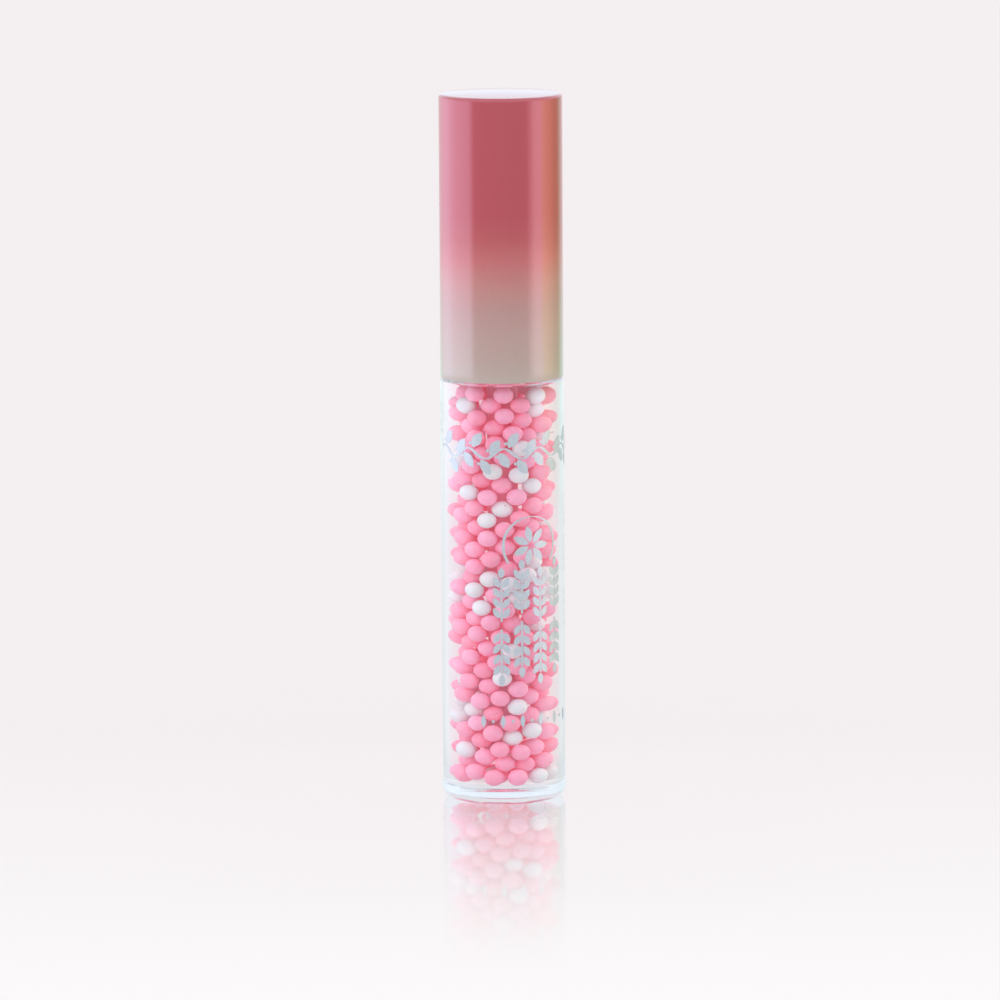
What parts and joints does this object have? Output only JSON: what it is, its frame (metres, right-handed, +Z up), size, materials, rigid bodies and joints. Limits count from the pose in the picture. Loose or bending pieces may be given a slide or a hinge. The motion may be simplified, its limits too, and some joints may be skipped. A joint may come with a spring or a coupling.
{
  "type": "lip gloss tube",
  "caption": "Round lip gloss tube: thick-walled clear bottle filled with beads in gel, closed by a tall screw cap with a doe-foot wand.",
  "frame": {"origin": "centre of the bottle's foot, on the surface it stands on", "axes": "+Z up the tube's axis from the bottle to the cap; +X and +Y are free, as the body is round"},
  "size_m": [0.0186, 0.0186, 0.1072],
  "materials": {
    "bottle": "clear polished",
    "beads_pink": "satin",
    "beads_white": "satin",
    "gloss": "clear gel",
    "wiper": "natural translucent",
    "washer": "closed-cell foam",
    "cap_shell": "gloss pearl lacquer, pink fading to cream",
    "cap_liner": "satin",
    "stem": "satin",
    "applicator_core": "soft matte",
    "applicator_flock": "short flock"
  },
  "bodies": {
    "bottle": {"bottle": "bottle", "beads_pink": "beads_pink", "beads_white": "beads_white", "gloss": "gloss", "wiper": "wiper"},
    "seal": {"washer": "washer"},
    "cap": {"cap_shell": "cap_shell", "cap_liner": "cap_liner", "stem": "stem", "applicator_core": "applicator_core", "applicator_flock": "applicator_flock"}
  },
  "joints": [
    {"name": "cap_rise", "type": "slide", "parent": "bottle", "child": "seal", "axis": [0, 0, 1], "range_m": [0, 0.0721]},
    {"name": "cap_twist", "type": "hinge", "parent": "seal", "child": "cap", "pos_m": [0, 0, 0.077], "axis": [0, 0, 1], "range_deg": [0, 8640]}
  ],
  "couplings": [
    {"joint": "cap_rise", "follows": "cap_twist", "m_per_rad": 0.00047746}
  ]
}
